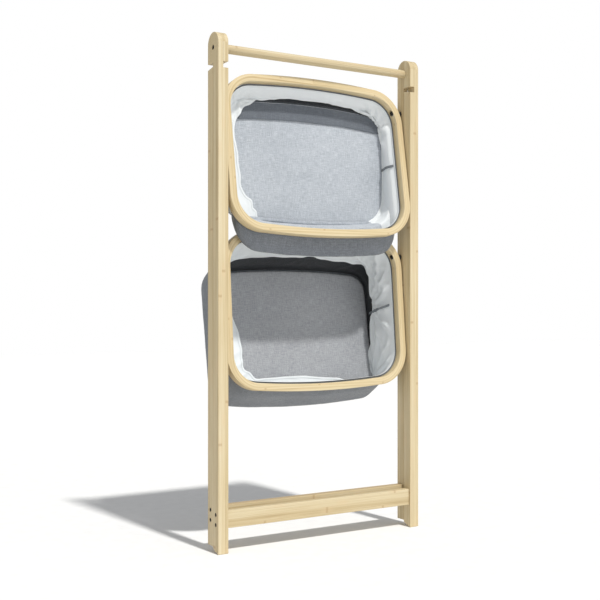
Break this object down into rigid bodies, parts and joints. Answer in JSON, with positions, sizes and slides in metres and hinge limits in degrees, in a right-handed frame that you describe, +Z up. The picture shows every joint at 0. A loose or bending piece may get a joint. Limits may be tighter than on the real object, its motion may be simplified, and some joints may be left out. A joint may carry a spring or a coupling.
{
  "type": "folding laundry hamper",
  "caption": "Folding bamboo laundry hamper shown folded: scissor legs, round top rail, two tilting hoops that each carry a soft fabric bag with a stiff base.",
  "frame": {"origin": "centre of the folded hamper's box, on the floor under the front feet", "axes": "X across the frame between the legs, +Y from the front legs to the rear, +Z up the legs"},
  "size_m": [0.48, 0.176, 1.0062],
  "materials": {
    "bamboo": "clear satin, strip grain along the length",
    "dowel_bamboo": "clear satin",
    "laminated_bamboo": "clear satin, bent laminate",
    "dark_steel": "black oxide",
    "zinc_plated_steel": "zinc plated",
    "brass": "turned",
    "black_nylon": "moulded",
    "grey_heather_fabric": "grey woven outside, white lining inside",
    "heather_board": "board covered in grey heather cloth"
  },
  "bodies": {
    "front_frame": {"front_leg_left": "bamboo", "front_leg_right": "bamboo", "front_rail": "bamboo", "front_rail_screw_left_1": "dark_steel", "front_rail_screw_left_2": "dark_steel", "front_rail_screw_right_1": "dark_steel", "front_rail_screw_right_2": "dark_steel", "top_rail": "dowel_bamboo", "top_rail_insert_left": "brass", "top_rail_insert_right": "brass", "fold_bolt_left": "dark_steel", "fold_bolt_right": "dark_steel"},
    "rear_frame": {"rear_leg_left": "bamboo", "rear_leg_right": "bamboo", "rear_rail": "bamboo", "rear_rail_screw_left_1": "dark_steel", "rear_rail_screw_left_2": "dark_steel", "rear_rail_screw_right_1": "dark_steel", "rear_rail_screw_right_2": "dark_steel", "upper_hoop_spacer_left": "black_nylon", "upper_hoop_spacer_right": "black_nylon", "upper_hoop_washer_left": "zinc_plated_steel", "upper_hoop_washer_right": "zinc_plated_steel", "upper_hoop_bolt_left": "dark_steel", "upper_hoop_bolt_right": "dark_steel", "upper_hoop_insert_left": "brass", "upper_hoop_insert_right": "brass", "lower_hoop_spacer_left": "black_nylon", "lower_hoop_spacer_right": "black_nylon", "lower_hoop_washer_left": "zinc_plated_steel", "lower_hoop_washer_right": "zinc_plated_steel", "lower_hoop_bolt_left": "dark_steel", "lower_hoop_bolt_right": "dark_steel", "lower_hoop_insert_left": "brass", "lower_hoop_insert_right": "brass"},
    "upper_basket": {"upper_hoop": "laminated_bamboo", "upper_bag": "grey_heather_fabric", "upper_bag_base": "grey_heather_fabric", "upper_base_board": "heather_board"},
    "lower_basket": {"lower_hoop": "laminated_bamboo", "lower_bag": "grey_heather_fabric", "lower_bag_base": "grey_heather_fabric", "lower_base_board": "heather_board"}
  },
  "joints": [
    {"name": "frame_fold", "type": "hinge", "parent": "front_frame", "child": "rear_frame", "pos_m": [0, -0.04908, 0.97675], "axis": [1, 0, 0], "range_deg": [0, 34.5]},
    {"name": "upper_basket_swing", "type": "hinge", "parent": "rear_frame", "child": "upper_basket", "pos_m": [0, -0.03558, 0.89225], "axis": [-1, 0, 0], "range_deg": [0, 85]},
    {"name": "lower_basket_swing", "type": "hinge", "parent": "rear_frame", "child": "lower_basket", "pos_m": [0, -0.03558, 0.58125], "axis": [-1, 0, 0], "range_deg": [0, 85]}
  ]
}
